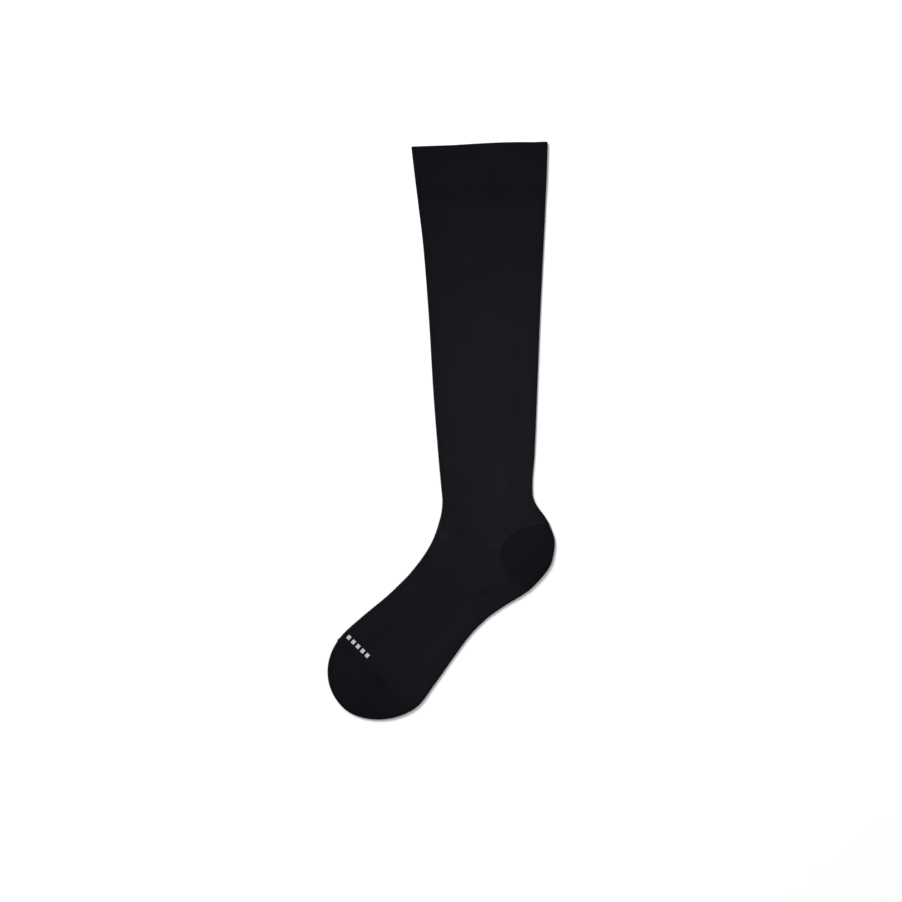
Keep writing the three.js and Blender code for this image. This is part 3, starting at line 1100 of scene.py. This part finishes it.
def set_camera(scene):
    """A camera straight above the cloth, its picture's top towards the rim."""
    stage = scene.stocking_stage
    lens = bpy.data.cameras.new("camera")
    lens.lens = stage.lens / MM
    lens.sensor_width = SENSOR_WIDTH
    holder = bpy.data.objects.new("camera", lens)
    half_angle = math.atan(lens.sensor_width / 2 / lens.lens)
    height = stage.picture_width / 2 / math.tan(half_angle)
    cloth_height = (CAD_BOX[1][2] - CAD_BOX[0][2]) / 2
    holder.location = (stage.look_x, stage.look_y, height + cloth_height)
    scene.collection.objects.link(holder)
    scene.camera = holder


class StockingKnit(PropertyGroup):
    """Sizes of the knit."""

    wales: IntProperty(
        name="Wales a side",
        description="Upright ribs of stitches across each laid side",
        default=90, min=20, max=120,
    )
    wale_depth: FloatProperty(
        name="Wale depth",
        description="How far a rib of the welt stands out over the furrow beside it",
        default=0.00011, min=0.0, max=0.001, precision=5, unit="LENGTH",
    )
    dot_height: FloatProperty(
        name="Dot height",
        description="How far a dot of the leg stands out",
        default=0.00012, min=0.0, max=0.001, precision=5, unit="LENGTH",
    )


class StockingLooks(PropertyGroup):
    """Colours and finish of the yarn and of the floor."""

    yarn: FloatVectorProperty(
        name="Yarn",
        description="Colour of the black yarn",
        default=(0.0058, 0.00565, 0.0075), min=0.0, max=1.0, subtype="COLOR",
    )
    sheen_colour: FloatVectorProperty(
        name="Sheen colour",
        description="Colour of the light that the fine hairs give back",
        default=(0.62, 0.58, 0.82), min=0.0, max=1.0, subtype="COLOR",
    )
    squares: FloatVectorProperty(
        name="Squares",
        description="Colour of the pale squares before the toe",
        default=(0.6, 0.6, 0.62), min=0.0, max=1.0, subtype="COLOR",
    )
    floor: FloatVectorProperty(
        name="Floor",
        description="Colour of the floor",
        default=(0.9, 0.9, 0.9), min=0.0, max=1.0, subtype="COLOR",
    )
    # A dot's paleness is partly painted highlight on the raised stitch.
    dot_contrast: FloatProperty(
        name="Dot contrast",
        description="How much paler a dot is than the yarn around it",
        default=1.9, min=0.0, max=3.0,
    )
    pocket_shade: FloatProperty(
        name="Pocket shade",
        description="How much darker the closer knit of welt, heel and toe is",
        default=0.34, min=0.0, max=0.9, subtype="FACTOR",
    )
    roughness: FloatProperty(
        name="Roughness",
        description="Roughness of the yarn",
        default=0.82, min=0.0, max=1.0, subtype="FACTOR",
    )
    gloss: FloatProperty(
        name="Gloss",
        description="Strength of the yarn's reflection",
        default=0.06, min=0.0, max=1.0, subtype="FACTOR",
    )
    sheen: FloatProperty(
        name="Sheen",
        description="Strength of the fine hairs' sheen",
        default=0.02, min=0.0, max=1.0, subtype="FACTOR",
    )
    stitch_strength: FloatProperty(
        name="Stitch strength",
        description="Strength of the stitches' relief in the light",
        default=0.6, min=0.0, max=1.0, subtype="FACTOR",
    )
    stitch_height: FloatProperty(
        name="Stitch height",
        description="Height of one stitch",
        default=0.00015, min=0.0, max=0.001, precision=5, unit="LENGTH",
    )
    square_start: FloatProperty(
        name="First square",
        description="Wales from the fold at the instep to the first pale square",
        default=4.0, min=0.0, max=90.0,
    )
    square_pitch: FloatProperty(
        name="Pitch of the squares",
        description="Wales from one pale square to the next",
        default=5.4, min=2.0, max=20.0,
    )
    square_count: IntProperty(
        name="Number of squares",
        description="Pale squares in the row",
        default=5, min=0, max=12,
    )
    square_course: FloatProperty(
        name="Course of the squares",
        description="Courses from the rim to the middle of the pale squares",
        default=563.0, min=0.0, max=700.0,
    )


class StockingStage(PropertyGroup):
    """The room, its lamps and the camera."""

    room_light: FloatProperty(
        name="Room light",
        description="Brightness of the pale room",
        default=0.6, min=0.0, max=5.0,
    )
    key_power: FloatProperty(
        name="Broad lamp",
        description="Power of the broad lamp at the upper left",
        default=70.0, min=0.0, max=500.0, unit="POWER",
    )
    low_power: FloatProperty(
        name="Low lamp",
        description="Power of the low lamp beyond the rim",
        default=8.0, min=0.0, max=500.0, unit="POWER",
    )
    lens: FloatProperty(
        name="Lens",
        description="Focal length of the camera",
        default=0.085, min=0.01, max=0.5, unit="LENGTH",
    )
    picture_width: FloatProperty(
        name="Picture width",
        description="Width that the picture takes in at the cloth",
        default=0.7487, min=0.1, max=5.0, unit="LENGTH",
    )
    look_x: FloatProperty(
        name="Look across",
        description="Place of the picture's middle, towards the calf",
        default=0.00813, unit="LENGTH",
    )
    look_y: FloatProperty(
        name="Look along",
        description="Place of the picture's middle, towards the rim",
        default=-0.017, unit="LENGTH",
    )


class STOCKING_OT_stage(Operator):
    """Lay the pale floor, hang the lamps and place the camera"""

    bl_idname = "stocking.set_stage"
    bl_label = "Set Stage"

    def execute(self, context):
        lay_floor(context.scene)
        light_room(context.scene)
        set_camera(context.scene)
        context.scene.view_settings.view_transform = "Standard"
        return {"FINISHED"}


class STOCKING_OT_welt(Operator):
    """Knit the turned double band at the top"""

    bl_idname = "stocking.knit_welt"
    bl_label = "Knit Welt"

    def execute(self, context):
        knit_zone(context, "welt")
        return {"FINISHED"}


class STOCKING_OT_leg(Operator):
    """Knit the leg tube with its small dots"""

    bl_idname = "stocking.knit_leg"
    bl_label = "Knit Leg"

    def execute(self, context):
        knit_zone(context, "leg")
        return {"FINISHED"}


class STOCKING_OT_heel(Operator):
    """Knit the ankle with the plain heel pocket let into it"""

    bl_idname = "stocking.knit_heel"
    bl_label = "Knit Heel"

    def execute(self, context):
        knit_zone(context, "heel")
        return {"FINISHED"}


class STOCKING_OT_foot(Operator):
    """Knit the plain foot tube"""

    bl_idname = "stocking.knit_foot"
    bl_label = "Knit Foot"

    def execute(self, context):
        knit_zone(context, "foot")
        return {"FINISHED"}


class STOCKING_OT_toe(Operator):
    """Knit the closed toe pocket with its linked seam"""

    bl_idname = "stocking.knit_toe"
    bl_label = "Knit Toe"

    def execute(self, context):
        knit_zone(context, "toe")
        return {"FINISHED"}


GROUPS = {
    "stocking_knit": StockingKnit,
    "stocking_looks": StockingLooks,
    "stocking_stage": StockingStage,
}
OPERATORS = (
    STOCKING_OT_stage,
    STOCKING_OT_welt,
    STOCKING_OT_leg,
    STOCKING_OT_heel,
    STOCKING_OT_foot,
    STOCKING_OT_toe,
)


class STOCKING_PT_panel(Panel):
    """Everything that makes the stocking, in the order in which it is made"""

    bl_idname = "STOCKING_PT_panel"
    bl_label = "Compression Stocking"
    bl_space_type = "VIEW_3D"
    bl_region_type = "UI"
    bl_category = "Stocking"

    def draw(self, context):
        for name, group in GROUPS.items():
            box = self.layout.box()
            for field in group.__annotations__:
                box.prop(getattr(context.scene, name), field)
        for operator in OPERATORS:
            self.layout.operator(operator.bl_idname)


def register():
    for cls in (*GROUPS.values(), *OPERATORS, STOCKING_PT_panel):
        bpy.utils.register_class(cls)
    for name, group in GROUPS.items():
        setattr(bpy.types.Scene, name, PointerProperty(type=group))


def unregister():
    for name in GROUPS:
        delattr(bpy.types.Scene, name)
    for cls in (STOCKING_PT_panel, *reversed(OPERATORS), *reversed(GROUPS.values())):
        bpy.utils.unregister_class(cls)


def main():
    """Make the stage and the five zones."""
    register()
    bpy.ops.stocking.set_stage()
    bpy.ops.stocking.knit_welt()
    bpy.ops.stocking.knit_leg()
    bpy.ops.stocking.knit_heel()
    bpy.ops.stocking.knit_foot()
    bpy.ops.stocking.knit_toe()


if __name__ == "__main__":
    main()
